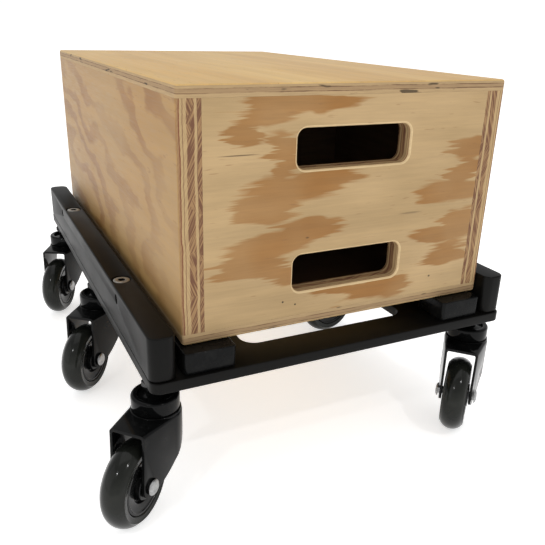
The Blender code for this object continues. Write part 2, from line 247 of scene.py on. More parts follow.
def set_coat(shader, specular, coat, coat_roughness):
    shader.inputs["Specular IOR Level"].default_value = specular
    shader.inputs["Coat Weight"].default_value = coat
    shader.inputs["Coat Roughness"].default_value = coat_roughness


def add_bump(graph, shader, height, strength, distance):
    bump = graph.add("ShaderNodeBump", {"Height": height, "Strength": strength, "Distance": distance})
    graph.feed(bump.outputs["Normal"], shader.inputs["Normal"])


# ---------------------------------------------------------------- blacks and metals


def powder_coat():
    """Satin black coating with slightly duller patches."""
    material, shader, graph = new_material("powder_coat", (0.005, 0.005, 0.005), 0.3)
    place = graph.place()
    patch = graph.noise(place, 9.0, 5.0, 0.6)
    tint = graph.ramp(patch, [(0.3, (0.0028, 0.0027, 0.0024)), (0.7, (0.0038, 0.0035, 0.0030))])
    graph.feed(tint, shader.inputs["Base Color"])
    rough = graph.grey_ramp(graph.noise(place, 24.0, 3.0, 0.5), 0.3, 0.7, 0.40, 0.46)
    graph.feed(rough, shader.inputs["Roughness"])
    set_coat(shader, 0.03, 0.16, 0.32)
    return material


def gloss_black(name, roughness, peel, coat):
    """Gloss black with slight waviness and dust."""
    material, shader, graph = new_material(name, (0.004, 0.004, 0.004), roughness)
    place = graph.place()
    dust = graph.noise(place, 45.0, 8.0, 0.7)
    tint = graph.ramp(dust, [(0.5, (0.003, 0.0032, 0.0033)), (0.85, (0.016, 0.016, 0.015))])
    graph.feed(tint, shader.inputs["Base Color"])
    rough = graph.grey_ramp(dust, 0.35, 0.8, roughness - 0.03, roughness + 0.12)
    graph.feed(rough, shader.inputs["Roughness"])
    set_coat(shader, 0.05, coat, 0.5 * roughness)
    add_bump(graph, shader, graph.noise(place, 220.0, 3.0), peel, 0.4 * MM)
    return material


def zinc(name, colour, roughness):
    """Zinc-plated steel, dulled in patches."""
    material, shader, graph = new_material(name, colour, roughness, 1.0)
    place = graph.place()
    grime = graph.noise(place, 260.0, 5.0, 0.65)
    dark = tuple(0.55 * part for part in colour)
    graph.feed(graph.ramp(grime, [(0.3, dark), (0.62, colour)]), shader.inputs["Base Color"])
    graph.feed(graph.grey_ramp(grime, 0.3, 0.7, roughness + 0.15, roughness), shader.inputs["Roughness"])
    add_bump(graph, shader, graph.noise(place, 1400.0, 2.0), 0.08, 0.2 * MM)
    return material


def urethane():
    """Smoky polyurethane, near black and glossy, with dull scuffs."""
    material, shader, graph = new_material("smoky_urethane", (0.012, 0.013, 0.012), 0.18)
    place = graph.place()
    cloud = graph.noise(place, 35.0, 4.0, 0.6)
    tint = graph.ramp(cloud, [(0.3, (0.004, 0.0045, 0.0042)), (0.7, (0.014, 0.015, 0.012))])
    graph.feed(tint, shader.inputs["Base Color"])
    rough = graph.grey_ramp(graph.noise(place, 150.0, 6.0, 0.7), 0.35, 0.7, 0.14, 0.30)
    graph.feed(rough, shader.inputs["Roughness"])
    shader.inputs["IOR"].default_value = 1.48
    set_coat(shader, 0.08, 0.26, 0.10)
    shader.inputs["Sheen Weight"].default_value = 0.10
    shader.inputs["Sheen Roughness"].default_value = 0.20
    add_bump(graph, shader, graph.noise(place, 300.0, 3.0), 0.05, 0.3 * MM)
    return material


# ---------------------------------------------------------------- woods

LIGHT_WOOD = (0.385, 0.262, 0.126)
CREAM_WOOD = (0.47, 0.325, 0.165)
WARM_WOOD = (0.275, 0.122, 0.028)
TAWNY_WOOD = (0.30, 0.146, 0.042)
PALE_WOOD = (0.362, 0.208, 0.070)
STRAW_WOOD = (0.375, 0.235, 0.096)
BROWN_WOOD = (0.265, 0.130, 0.038)
LATE_WOOD = (0.285, 0.144, 0.046)
TOP_WOOD = (0.65, 0.43, 0.165)
TOP_STREAK = (0.57, 0.35, 0.125)
FLECK = (0.22, 0.11, 0.045)
PIT = (0.03, 0.018, 0.01)
FRESH_WOOD = (0.66, 0.49, 0.26)
FRESH_SHADE = (0.56, 0.40, 0.21)
# Painted shade: the box's inner faces take these darkened wood tones for the shade inside the closed box.
INNER_PAINTED_SHADE = (0.11, 0.06, 0.027)
INNER_SHADE = (0.08, 0.042, 0.018)

GLUE_LINE = (0.11, 0.05, 0.028)
RUST_LINE = (0.17, 0.055, 0.028)
RUST_FADE = (0.20, 0.08, 0.04)
WALL_PALE = (0.45, 0.31, 0.155)
WALL_TAN = (0.32, 0.19, 0.09)
SKIN_PALE = (0.42, 0.29, 0.150)
SKIN_MIDDLE = (0.34, 0.225, 0.118)
STROKE = (0.155, 0.072, 0.040)
CHIP = (0.02, 0.014, 0.01)

STROKE_LENGTH = 28.0 * MM
STROKE_WIDTH = 1.15 * MM
STROKE_DEPTH = 50.0 * MM

# Warm patches of the end veneer: centre and half size along and up the panel, in mm.
END_PATCHES = (
    (-77, 185, 30, 11), (-38, 189, 46, 7), (-96, 168, 17, 12), (-66, 150, 18, 19), (-50, 124, 50, 12),
    (-80, 108, 33, 14), (-40, 87, 33, 9), (-70, 77, 42, 8), (-92, 62, 35, 16), (-68, 48, 22, 11),
    (122, 144, 30, 9), (112, 109, 46, 14), (128, 128, 20, 9), (98, 63, 42, 9), (114, 44, 32, 12),
    (124, 77, 24, 12), (33, 19, 37, 11), (-10, 25, 28, 5))
# Pits, hairline checks and a resin fleck: centre and half size in mm, and depth of tone.
END_MARKS = (
    (-63, 24, 0.9, 0.9, 1.0), (-51, 20, 0.9, 0.8, 1.0), (92, 25, 1.2, 1.0, 0.8),
    (-42, 79, 1.6, 0.7, 0.6), (-104, 151, 15, 0.5, 0.7), (62, 90, 11, 0.9, 0.35))


def finish_wood(graph, shader, wood, along, across):
    """Fine dashes of grain, sparse dark flecks, satin lacquer."""
    dashes = graph.noise(graph.scaled(along, across, 34.0, 620.0), 1.0, 4.0, 0.6)
    streak = graph.noise(graph.scaled(along, across, 5.0, 90.0, (3.0, 1.0, 2.0)), 1.0, 3.0, 0.5)
    tone = graph.math("MULTIPLY", graph.grey_ramp(dashes, 0.3, 0.7, 0.93, 1.05),
                      graph.grey_ramp(streak, 0.3, 0.7, 0.94, 1.05))
    wood = graph.toned(wood, tone)
    flecks = graph.noise(graph.scaled(along, across, 60.0, 420.0, (7.0, 2.0, 5.0)), 1.0, 1.0)
    wood = graph.mix(graph.math("MULTIPLY", graph.grey_ramp(flecks, 0.70, 0.76), 0.4), wood, FLECK)
    graph.feed(wood, shader.inputs["Base Color"])
    graph.feed(graph.grey_ramp(dashes, 0.3, 0.7, 0.42, 0.58), shader.inputs["Roughness"])
    shader.inputs["Specular IOR Level"].default_value = 0.25
    add_bump(graph, shader, dashes, 0.10, 0.4 * MM)


def end_veneer():
    """Rotary-cut face veneer: warm patches with jagged ends on a pale ground."""
    material, shader, graph = new_material("end_veneer", LIGHT_WOOD, 0.5)
    place = graph.place()
    jagged = graph.noise(graph.scaled(0, 2, 9.0, 210.0), 1.0, 3.0, 0.65)
    coarse = graph.noise(graph.scaled(0, 2, 14.0, 48.0, (1.0, 2.0, 3.0)), 1.0, 3.0, 0.5)
    moved = graph.pushed(place, jagged, 0.075, 0)
    moved = graph.pushed(moved, coarse, 0.06, 0)
    moved = graph.pushed(moved, coarse, 0.03, 2)
    nearest = 4.0
    for centre_x, centre_z, half_x, half_z in END_PATCHES:
        reach = graph.reach(moved, (centre_x, centre_z), (half_x, half_z))
        nearest = graph.math("SMOOTH_MIN", nearest, reach, 0.25)
    patch = graph.grey_ramp(nearest, 1.10, 0.86)
    tone = graph.noise(graph.scaled(0, 2, 7.0, 16.0, (5.0, 1.0, 8.0)), 1.0, 3.0)
    ground = graph.mix(graph.grey_ramp(tone, 0.35, 0.65), LIGHT_WOOD, CREAM_WOOD)
    warm = graph.mix(graph.grey_ramp(tone, 0.35, 0.65), WARM_WOOD, TAWNY_WOOD)
    strength = graph.grey_ramp(graph.noise(place, 13.0, 2.0), 0.35, 0.6, 0.72, 1.0)
    wood = graph.mix(graph.math("MULTIPLY", patch, strength), ground, warm)
    for mark_x, mark_z, half_x, half_z, depth in END_MARKS:
        reach = graph.reach(place, (mark_x, mark_z), (half_x, half_z))
        wood = graph.mix(graph.grey_ramp(reach, 1.3, 0.6, 0.0, depth), wood, PIT)
    finish_wood(graph, shader, wood, 0, 2)
    return material


def side_veneer():
    """Flat-sawn veneer: growth bands arching over the rear bottom corner and down to the front."""
    material, shader, graph = new_material("side_veneer", PALE_WOOD, 0.5)
    warp = graph.noise(graph.stretched((6.0, 6.0, 14.0), offset=(0.3, 2.7, 0.4)), 1.0, 3.0, 0.5)
    jagged = graph.noise(graph.stretched((12.0, 12.0, 170.0), (math.radians(10.0), 0.0, 0.0)), 1.0, 3.0, 0.6)
    moved = graph.pushed(graph.place(), jagged, 0.04, 1)
    arch = graph.length(graph.fitted(moved, (0.0, 0.42, 1.0), (0.0, -0.115, 0.02)))
    rings = graph.math("ADD", graph.math("MULTIPLY", arch, 27.0), graph.math("MULTIPLY", warp, 3.6))
    band = graph.ramp(graph.math("FRACT", rings), [
        (0.0, PALE_WOOD), (0.36, PALE_WOOD), (0.50, BROWN_WOOD), (0.84, LATE_WOOD), (0.92, PALE_WOOD)])
    soft = graph.noise(graph.stretched((5.0, 5.0, 9.0), offset=(1.0, 4.0, 2.0)), 1.0, 3.0)
    wood = graph.mix(graph.grey_ramp(soft, 0.38, 0.60, 0.35, 1.0), STRAW_WOOD, band)
    finish_wood(graph, shader, wood, 1, 2)
    return material


def top_veneer():
    """Plain golden veneer with lengthwise streaks."""
    material, shader, graph = new_material("top_veneer", TOP_WOOD, 0.5)
    broad = graph.noise(graph.scaled(1, 0, 2.2, 26.0), 1.0, 3.0, 0.55)
    wood = graph.mix(graph.grey_ramp(broad, 0.36, 0.66), TOP_WOOD, TOP_STREAK)
    finish_wood(graph, shader, wood, 1, 0)
    return material


def strokes(graph, run, across, slant):
    """Noise drawn out into thin slanting strokes, as end grain shows them."""
    turn = [0.0, 0.0, 0.0]
    turn[3 - run - across] = math.radians(slant)
    size = [STROKE_DEPTH] * 3
    size[run] = STROKE_LENGTH
    size[across] = STROKE_WIDTH
    place = graph.add("ShaderNodeMapping", {"Vector": graph.place(), "Scale": size, "Rotation": turn,
                                            "Location": (slant * MM, 0.0, 0.0)}, vector_type="TEXTURE")
    return graph.noise(place.outputs["Vector"], 1.0, 2.0, 0.5)


def wall_edge(name, across, outer, inner, run):
    """Cut edge of the wall plywood: thin glue lines, pale plies and two dark plies of slanting end grain."""
    material, shader, graph = new_material(name, LIGHT_WOOD, 0.65)
    wobble = graph.noise(graph.scaled(run, across, 32.0, 60.0), 1.0, 4.0, 0.65)
    share = graph.math("ADD", graph.depth(across, outer, inner), graph.swing(wobble, 0.16))
    plies = graph.ramp(share, [
        (0.0, WALL_TAN), (0.085, WALL_TAN), (0.095, RUST_LINE), (0.125, RUST_FADE),
        (0.14, WALL_PALE), (0.225, WALL_PALE), (0.245, GLUE_LINE), (0.265, WALL_PALE), (0.40, WALL_PALE),
        (0.42, WALL_TAN), (0.69, WALL_TAN), (0.71, WALL_PALE), (0.81, WALL_PALE),
        (0.83, GLUE_LINE), (0.85, WALL_TAN), (1.0, WALL_TAN)])
    dark = graph.ramp(share, [(0.0, 0.25), (0.12, 0.15), (0.38, 0.2), (0.42, 1.0),
                              (0.69, 1.0), (0.72, 0.15), (0.82, 0.2), (0.85, 1.0)])
    chooser = graph.math("GREATER_THAN", graph.noise(graph.stretched((30.0, 30.0, 30.0)), 1.0, 1.0), 0.5)
    braid = graph.mix(chooser, strokes(graph, run, across, 24.0), strokes(graph, run, across, -20.0))
    braid = graph.grey_ramp(braid, 0.44, 0.56)
    graph.feed(graph.mix(graph.math("MULTIPLY", braid, dark), plies, STROKE), shader.inputs["Base Color"])
    shader.inputs["Specular IOR Level"].default_value = 0.2
    add_bump(graph, shader, braid, -0.25, 0.4 * MM)
    return material


def skin_edge(name, low, high):
    """Cut edge of the thin panels: three plies, two broken dark glue lines, a few black chips."""
    material, shader, graph = new_material(name, LIGHT_WOOD, 0.65)
    wobble = graph.noise(graph.stretched((26.0, 26.0, 40.0)), 1.0, 4.0, 0.6)
    share = graph.math("ADD", graph.depth(2, low, high), graph.swing(wobble, 0.16))
    plies = graph.ramp(share, [(0.0, SKIN_PALE), (0.31, SKIN_PALE), (0.35, SKIN_MIDDLE),
                               (0.64, SKIN_MIDDLE), (0.68, SKIN_PALE), (1.0, SKIN_PALE)])
    lines = graph.ramp(share, [(0.27, 0.0), (0.32, 1.0), (0.345, 1.0), (0.39, 0.0),
                               (0.61, 0.0), (0.66, 1.0), (0.68, 1.0), (0.73, 0.0)])
    broken = graph.noise(graph.stretched((38.0, 38.0, 60.0), offset=(4.0, 2.0, 1.0)), 1.0, 4.0, 0.7)
    glue = graph.math("MULTIPLY", lines, graph.grey_ramp(broken, 0.36, 0.6, 0.15, 0.9))
    wood = graph.mix(glue, plies, GLUE_LINE)
    chips = graph.noise(graph.stretched((34.0, 34.0, 160.0), offset=(9.0, 3.0, 6.0)), 1.0, 2.0)
    wood = graph.mix(graph.math("MULTIPLY", graph.grey_ramp(chips, 0.66, 0.70), 0.8), wood, CHIP)
    dashes = graph.noise(graph.stretched((60.0, 60.0, 900.0)), 1.0, 3.0, 0.6)
    graph.feed(graph.toned(wood, graph.grey_ramp(dashes, 0.3, 0.7, 0.86, 1.06)), shader.inputs["Base Color"])
    shader.inputs["Specular IOR Level"].default_value = 0.2
    add_bump(graph, shader, dashes, 0.2, 0.4 * MM)
    return material


def plain_wood(name, scale, light, dark, base, roughness):
    """One wood tone that varies with the grain."""
    material, shader, graph = new_material(name, base, roughness)
    grain = graph.noise(graph.stretched(scale), 1.0, 4.0, 0.6)
    graph.feed(graph.mix(graph.grey_ramp(grain, 0.35, 0.65), light, dark), shader.inputs["Base Color"])
    return material


def inner_painted_shade():
    """Inner faces of the box: wood darkened as painted shade for the dim inside."""
    return plain_wood("inner_wood_painted_shade", (20.0, 20.0, 200.0), INNER_PAINTED_SHADE, INNER_SHADE, (0.10, 0.055, 0.025), 0.8)


def fresh_cut():
    """Pale sanded wood on the rims of the hand holes."""
    return plain_wood("fresh_cut", (40.0, 300.0, 300.0), FRESH_WOOD, FRESH_SHADE, FRESH_WOOD, 0.5)


# ---------------------------------------------------------------- mesh helpers

FLAT_WIDTH = 1.2 * MM
RIM_STEPS = 5
MERGE = 1e-6


def in_mm(points):
    """Points given in mm, as metres."""
    return [(first * MM, second * MM) for first, second in points]


def finish_mesh(bm, name, materials, sharp_deg=32.0, pick=None):
    """Mesh, wide faces flat and narrow ones smooth below the sharp angle; pick(face) is its material."""
    bmesh.ops.recalc_face_normals(bm, faces=bm.faces)
    bm.normal_update()
    for face in bm.faces:
        face.smooth = face.calc_area() < FLAT_WIDTH * face.calc_perimeter()
        if pick is not None:
            face.material_index = pick(face)
    mesh = plain_mesh(bm, name)
    for material in materials:
        mesh.materials.append(material)
    mesh.set_sharp_from_angle(angle=math.radians(sharp_deg))
    return mesh


def plain_mesh(bm, name):
    mesh = bpy.data.meshes.new(name)
    bm.to_mesh(mesh)
    bm.free()
    return mesh


def rounded_outline(width, depth, radius, steps=10):
    points = []
    for side_x, side_y, start in ((1, 1, 0), (-1, 1, 90), (-1, -1, 180), (1, -1, 270)):
        centre = Vector((side_x * (width / 2.0 - radius), side_y * (depth / 2.0 - radius)))
        points += arc(centre.x, centre.y, radius, start, start + 90.0, steps)
    return points


def ring_outline(radius, sides):
    angles = [math.tau * side / sides for side in range(sides)]
    return [(radius * math.cos(angle), radius * math.sin(angle)) for angle in angles]


def arc(centre_u, centre_v, radius, start, end, steps=6):
    """Points on an arc, angles in degrees from the first axis towards the second."""
    points = []
    for step in range(steps + 1):
        angle = math.radians(start + (end - start) * step / steps)
        points.append((centre_u + radius * math.cos(angle), centre_v + radius * math.sin(angle)))
    return points


def prism(outline, low, high, bevel=0.0, segments=4, rims="both"):
    """bmesh of a prism over an XY outline, with its rims rounded."""
    bm = bmesh.new()
    base = bm.faces.new([bm.verts.new((x, y, low)) for x, y in outline])
    grown = bmesh.ops.extrude_face_region(bm, geom=[base])
    lifted = [item for item in grown["geom"] if isinstance(item, bmesh.types.BMVert)]
    bmesh.ops.translate(bm, verts=lifted, vec=(0.0, 0.0, high - low))
    if bevel > 0.0:
        flat = [e for e in bm.edges if abs(e.verts[0].co.z - e.verts[1].co.z) < MERGE]
        if rims == "top":
            flat = [e for e in flat if e.verts[0].co.z > (low + high) / 2.0]
        bmesh.ops.bevel(bm, geom=flat, offset=bevel, segments=segments, profile=0.5, affect="EDGES")
    bmesh.ops.recalc_face_normals(bm, faces=bm.faces)
    return bm


def cylinder(radius, low, high, sides=48):
    return prism(ring_outline(radius, sides), low, high)


def block(low, high, bevel, rounded):
    """bmesh of a box; the edges for which rounded(middle) holds are rounded."""
    bm = bmesh.new()
    bmesh.ops.create_cube(bm, size=1.0)
    bmesh.ops.scale(bm, vec=Vector(high) - Vector(low), verts=bm.verts)
    bmesh.ops.translate(bm, vec=(Vector(high) + Vector(low)) / 2.0, verts=bm.verts)
    chosen = [e for e in bm.edges if rounded((e.verts[0].co + e.verts[1].co) / 2.0)]
    bmesh.ops.bevel(bm, geom=chosen, offset=bevel, segments=RIM_STEPS, profile=0.5, affect="EDGES")
    return bm


def turned(profile, steps=72, closed=False):
    """bmesh of (radius, height) points spun about Z."""
    bm = bmesh.new()
    points = [bm.verts.new((radius, 0.0, height)) for radius, height in profile]
    edges = [bm.edges.new(pair) for pair in zip(points, points[1:])]
    if closed:
        edges.append(bm.edges.new((points[-1], points[0])))
    bmesh.ops.spin(bm, geom=points + edges, cent=(0, 0, 0), axis=(0, 0, 1), angle=math.tau,
                   steps=steps, use_merge=True)
    bmesh.ops.remove_doubles(bm, verts=bm.verts, dist=MERGE)
    return bm


def turn_and_move(bm, degrees, axis, place):
    """bm rotated about one axis through the origin, then moved."""
    matrix = Matrix.Translation(place) @ Matrix.Rotation(math.radians(degrees), 4, axis)
    bmesh.ops.transform(bm, matrix=matrix, verts=bm.verts)
    return bm


def boolean(mesh, cutters, bevel=0.0, segments=3, materials=(), pick=None, angle=40.0):
    """mesh cut by (operation, bmesh) pairs, then its sharp rims rounded, as a new mesh."""
    scene = bpy.context.scene.collection
    base = bpy.data.objects.new("base", mesh)
    scene.objects.link(base)
    helpers = [base]
    for operation, bm in cutters:
        tool = bpy.data.objects.new("tool", plain_mesh(bm, "tool"))
        scene.objects.link(tool)
        helpers.append(tool)
        modifier = base.modifiers.new("cut", "BOOLEAN")
        modifier.operation = operation
        modifier.object = tool
    if bevel > 0.0:
        rounding = base.modifiers.new("rounding", "BEVEL")
        rounding.width = bevel
        rounding.segments = segments
        rounding.limit_method = "ANGLE"
        rounding.angle_limit = math.radians(angle)
        rounding.harden_normals = False
    bpy.context.view_layer.update()
    shaped = base.evaluated_get(bpy.context.evaluated_depsgraph_get())
    bm = bmesh.new()
    bm.from_mesh(shaped.to_mesh())
    for helper in helpers:
        bpy.data.objects.remove(helper, do_unlink=True)
    return finish_mesh(bm, mesh.name, materials, pick=pick)


def round_rims(mesh, chosen, radius, materials, pick):
    """mesh with the sharp edges for which chosen(middle) holds rounded over."""
    bm = bmesh.new()
    bm.from_mesh(mesh)
    rims = [e for e in bm.edges if len(e.link_faces) == 2 and e.calc_face_angle() > math.radians(60.0)
            and chosen((e.verts[0].co + e.verts[1].co) / 2.0)]
    bmesh.ops.bevel(bm, geom=rims, offset=radius, segments=RIM_STEPS, profile=0.5, affect="EDGES")
    return finish_mesh(bm, mesh.name, materials, pick=pick)


def add_piece(name, mesh, body, nodes, place=Matrix.Identity(4)):
    """A visible piece that rides on a body and stands for CAD nodes."""
    piece = bpy.data.objects.new(name, mesh)
    bpy.context.scene.collection.objects.link(piece)
    piece.matrix_world = place
    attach(piece, body)
    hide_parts(*nodes)


def recolour(node, material):
    """A CAD node shown as it is, in a material of this script."""
    thing = frame["nodes"][node]
    thing.data.materials.clear()
    thing.data.materials.append(material)


# ---------------------------------------------------------------- frame

CORNER_R = 8.5 * MM
WINDOW_W = 170.0 * MM
WINDOW_D = 449.0 * MM
WINDOW_CORNER_R = 14.0 * MM
PASS_THROUGH = 10.0 * MM

SINK_R = 9.2 * MM
SINK_RIM = 1.2 * MM
SINK_NECK_R = 4.4 * MM
SINK_DEPTH = 6.0 * MM
SIDE_HOLE_R = 4.5 * MM
SIDE_HOLE_DEPTH = 10.0 * MM
SIDE_HOLE_Y = 149.0 * MM
SIDE_HOLE_DROP = 9.5 * MM

SHANK_R = 4.0 * MM
SCREW_L = 20.0 * MM
SOCKET_R = 3.6 * MM
SOCKET_DEPTH = 3.0 * MM

PAD_CORNER_R = 3.5 * MM
PAD_RIM_R = 1.1 * MM


def build_plate(coat):
    low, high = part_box("base_plate")
    size = high - low
    slab = prism(rounded_outline(size.x, size.y, CORNER_R), low.z, high.z, 0.9 * MM)
    opening = rounded_outline(WINDOW_W, WINDOW_D, WINDOW_CORNER_R)
    window = prism(opening, low.z - PASS_THROUGH, high.z + PASS_THROUGH)
    mesh = boolean(plain_mesh(slab, "deck_plate"), [("DIFFERENCE", window)], 0.7 * MM, 3, [coat], angle=60.0)
    add_piece("deck_plate", mesh, "frame", ["base_plate"])


def screw_sink(row, side, top):
    """Countersink around a rail-top screw, a little wider than its head."""
    sink = turned([(0.0, top + MM), (SINK_R, top + MM), (SINK_R, top - SINK_RIM),
                   (SINK_NECK_R, top - SINK_DEPTH), (0.0, top - SINK_DEPTH)])
    screw_low, screw_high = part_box(f"rail_screw_{row}_{side}")
    centre = (screw_low + screw_high) / 2.0
    bmesh.ops.translate(sink, verts=sink.verts, vec=(centre.x, centre.y, 0.0))
    return sink


def build_rail(side, coat):
    """Bar with rounded ends, two countersinks on top and two blind holes in its outer face."""
    low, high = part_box(f"{side}_rail")
    size = high - low
    middle = (high + low) / 2.0
    bar = prism(rounded_outline(size.x, size.y, CORNER_R), low.z, high.z, 1.3 * MM)
    bmesh.ops.translate(bar, verts=bar.verts, vec=(middle.x, middle.y, 0.0))
    cutters = [("DIFFERENCE", screw_sink(row, side, high.z)) for row in ("front", "rear")]
    sign = 1.0 if side == "right" else -1.0
    hole_x = middle.x + sign * (size.x / 2.0 - SIDE_HOLE_DEPTH / 2.0)
    for way in (-1.0, 1.0):
        hole = cylinder(SIDE_HOLE_R, -SIDE_HOLE_DEPTH / 2.0, SIDE_HOLE_DEPTH)
        turn_and_move(hole, sign * 90.0, "Y", (hole_x, way * SIDE_HOLE_Y, high.z - SIDE_HOLE_DROP))
        cutters.append(("DIFFERENCE", hole))
    mesh = boolean(plain_mesh(bar, f"{side}_rail_bar"), cutters, 0.35 * MM, 2, [coat], angle=60.0)
    add_piece(f"{side}_rail_bar", mesh, "frame", [f"{side}_rail"])


def build_screw(row, side, steel, dark):
    """Flat-head socket screw with a chamfered rim; its hex socket is dark as painted shade."""
    node = f"rail_screw_{row}_{side}"
    low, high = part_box(node)
    centre = (low + high) / 2.0
    top = high.z
    profile = [(0.0, top), (6.9 * MM, top), (7.6 * MM, top - 0.25 * MM), (7.8 * MM, top - 0.7 * MM),
               (SHANK_R, top - 4.4 * MM), (SHANK_R, top - SCREW_L), (0.0, top - SCREW_L)]
    head = plain_mesh(turned(profile), "screw_head")
    socket = cylinder(SOCKET_R, top - SOCKET_DEPTH, top + MM, 6)
    # The socket's faces take the black pad plastic: painted shade in the recess of the plated head.
    mesh = boolean(head, [("DIFFERENCE", socket)], 0.15 * MM, 2, [steel, dark], angle=50.0,
                   pick=lambda part: int(part.calc_center_median().xy.length < SOCKET_R + 0.05 * MM))
    add_piece(f"flat_head_screw_{row}_{side}", mesh, "frame", [node],
              Matrix.Translation((centre.x, centre.y, 0.0)))


def build_pad(row, side, plastic):
    node = f"rest_pad_{row}_{side}"
    low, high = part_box(node)
    size = high - low
    middle = (low + high) / 2.0
    name = f"pad_block_{row}_{side}"
    bm = prism(rounded_outline(size.x, size.y, PAD_CORNER_R), low.z, high.z, PAD_RIM_R)
    add_piece(name, finish_mesh(bm, name, [plastic]), "frame", [node],
              Matrix.Translation((middle.x, middle.y, 0.0)))


def build_frame(finishes):
    build_plate(finishes["coat"])
    for side in ("left", "right"):
        build_rail(side, finishes["coat"])
        for row in ("front", "rear"):
            build_screw(row, side, finishes["screw"], finishes["pad"])
    for side in ("left", "right"):
        for row in ("front", "rear"):
            build_pad(row, side, finishes["pad"])


# ---------------------------------------------------------------- casters

TRAIL = 37.0 * MM
AXLE_Z = 37.5 * MM
CROWN_TOP = 88.0 * MM
CROWN_T = 3.0 * MM
CUP_R = 20.4 * MM
CUP_TOP = 101.5 * MM
NECK_R = 8.0 * MM
NECK_TOP = 107.0 * MM
PIN_R = 6.0 * MM
STEM_TOP = 122.0 * MM
COLLAR_R = 11.0 * MM
FORK_FRONT_X = 50.0 * MM
SLOT_FRONT_X = 50.5 * MM
FORK_BACK_R = 22.0 * MM
LEG_TIP_R = 9.6 * MM
CROWN_BEND_X = 22.0 * MM
CROWN_SLOPE = 0.1
RACE_R = 21.5 * MM
KING_HOLE_R = 6.3 * MM
AXLE_FACE = 18.2 * MM
AXLE_END = 19.3 * MM


def cup_mesh(enamel):
    """Pressed swivel cup with its recessed top, neck and king pin."""
    low = CROWN_TOP + 0.3 * MM
    flange = CROWN_TOP - CROWN_T - 0.3 * MM
    profile = [(0.0, STEM_TOP), (PIN_R, STEM_TOP), (PIN_R, NECK_TOP), (NECK_R, NECK_TOP)]
    profile += [(NECK_R, 99.6 * MM), (11.0 * MM, 98.7 * MM), (15.5 * MM, 98.7 * MM)]
    profile += arc(16.2 * MM, 100.4 * MM, 1.1 * MM, 200.0, 90.0, 5)
    profile += arc(CUP_R - 2.4 * MM, CUP_TOP - 2.4 * MM, 2.4 * MM, 90.0, 0.0, 7)
    profile += arc(CUP_R - 1.2 * MM, low + 1.2 * MM, 1.2 * MM, 0.0, -90.0, 5)
    profile += [(PIN_R, low), (PIN_R, flange), (9.0 * MM, flange), (9.0 * MM, flange - 1.5 * MM),
                (7.6 * MM, flange - 2.5 * MM), (0.0, flange - 2.5 * MM)]
    return finish_mesh(turned(profile), "swivel_cup", [enamel])


def collar_mesh(enamel):
    """Hexagonal wrench collar just under the plate."""
    bm = prism(ring_outline(COLLAR_R, 6), NECK_TOP + 0.3 * MM, 113.2 * MM, 0.7 * MM, 2)
    return finish_mesh(bm, "hex_collar", [enamel], 25.0)


def leg_outline():
    """Side view of the fork, X forwards and Z up: crown, round leg tip, curved rear edge."""
    over = CROWN_TOP + 5.0 * MM
    points = [(-30.0 * MM, over), (43.0 * MM, over), (43.0 * MM, CROWN_TOP), (43.6 * MM, 76.0 * MM)]
    points += arc(TRAIL, AXLE_Z, LEG_TIP_R, 4.0, -146.0, 15)
    return points + in_mm([
        (28.0, 31.2), (21.0, 33.8), (14.0, 37.7), (7.5, 42.4), (2.5, 46.6), (-2.0, 51.2), (-5.8, 56.8),
        (-8.4, 63.0), (-9.8, 70.0), (-10.5, 77.0), (-12.5, 80.3), (-15.5, 81.6), (-30.0, 81.6)])


def fork_plan():
    """Plan outline: an arc behind the swivel axis and straight sides that close in to the front."""
    half_front = 15.2 * MM
    front = [(FORK_FRONT_X, -half_front), (FORK_FRONT_X, half_front)]
    return front + arc(0.0, 0.0, FORK_BACK_R, 74.0, 284.0, 35)


def fork_slot_plan():
    """Plan of the space between the legs, open at both ends."""
    knee_turn = math.radians(75.0)
    knee_x = 19.5 * MM * math.cos(knee_turn)
    knee_y = 19.5 * MM * math.sin(knee_turn)
    front_y = 12.7 * MM
    back_x = -40.0 * MM
    return [(SLOT_FRONT_X, front_y), (knee_x, knee_y), (back_x, knee_y), (back_x, -knee_y),
            (knee_x, -knee_y), (SLOT_FRONT_X, -front_y)]


def fork_mesh(enamel):
    """Stamped yoke with bent shoulders, a race ring on its crown and rounded leg tips."""
    crown = CROWN_TOP - 1.3 * MM
    reach = 30.0 * MM
    outer = prism(fork_plan(), 20.0 * MM, crown, 3.2 * MM, 6, "top")
    side = turn_and_move(prism(leg_outline(), -reach, reach), 90.0, "X", (0.0, 0.0, 0.0))
    slot = prism(fork_slot_plan(), 10.0 * MM, CROWN_TOP - CROWN_T - 1.0 * MM, 1.6 * MM, 4, "top")
    king = cylinder(KING_HOLE_R, 70.0 * MM, 95.0 * MM)
    axle = turn_and_move(cylinder(4.3 * MM, -reach, reach), 90.0, "X", (TRAIL, 0.0, AXLE_Z))
    cutters = [("INTERSECT", side), ("DIFFERENCE", slot), ("DIFFERENCE", king), ("DIFFERENCE", axle)]
    mesh = boolean(plain_mesh(outer, "fork_yoke"), cutters, 0.6 * MM, 3, [enamel], angle=50.0)
    ring = turned([(6.4 * MM, crown - 0.5 * MM), (6.4 * MM, CROWN_TOP - 0.05 * MM)]
                  + arc(RACE_R - 1.0 * MM, CROWN_TOP - 0.85 * MM, 0.8 * MM, 90.0, 0.0, 4)
                  + [(RACE_R, crown), (RACE_R, crown - 0.5 * MM)], closed=True)
    bm = bmesh.new()
    bm.from_mesh(mesh)
    bm.from_mesh(plain_mesh(ring, "ring"))
    for vert in bm.verts:
        if vert.co.z > 70.0 * MM and vert.co.x > CROWN_BEND_X:
            vert.co.z += CROWN_SLOPE * (vert.co.x - CROWN_BEND_X)
    return finish_mesh(bm, "fork_yoke", [enamel])


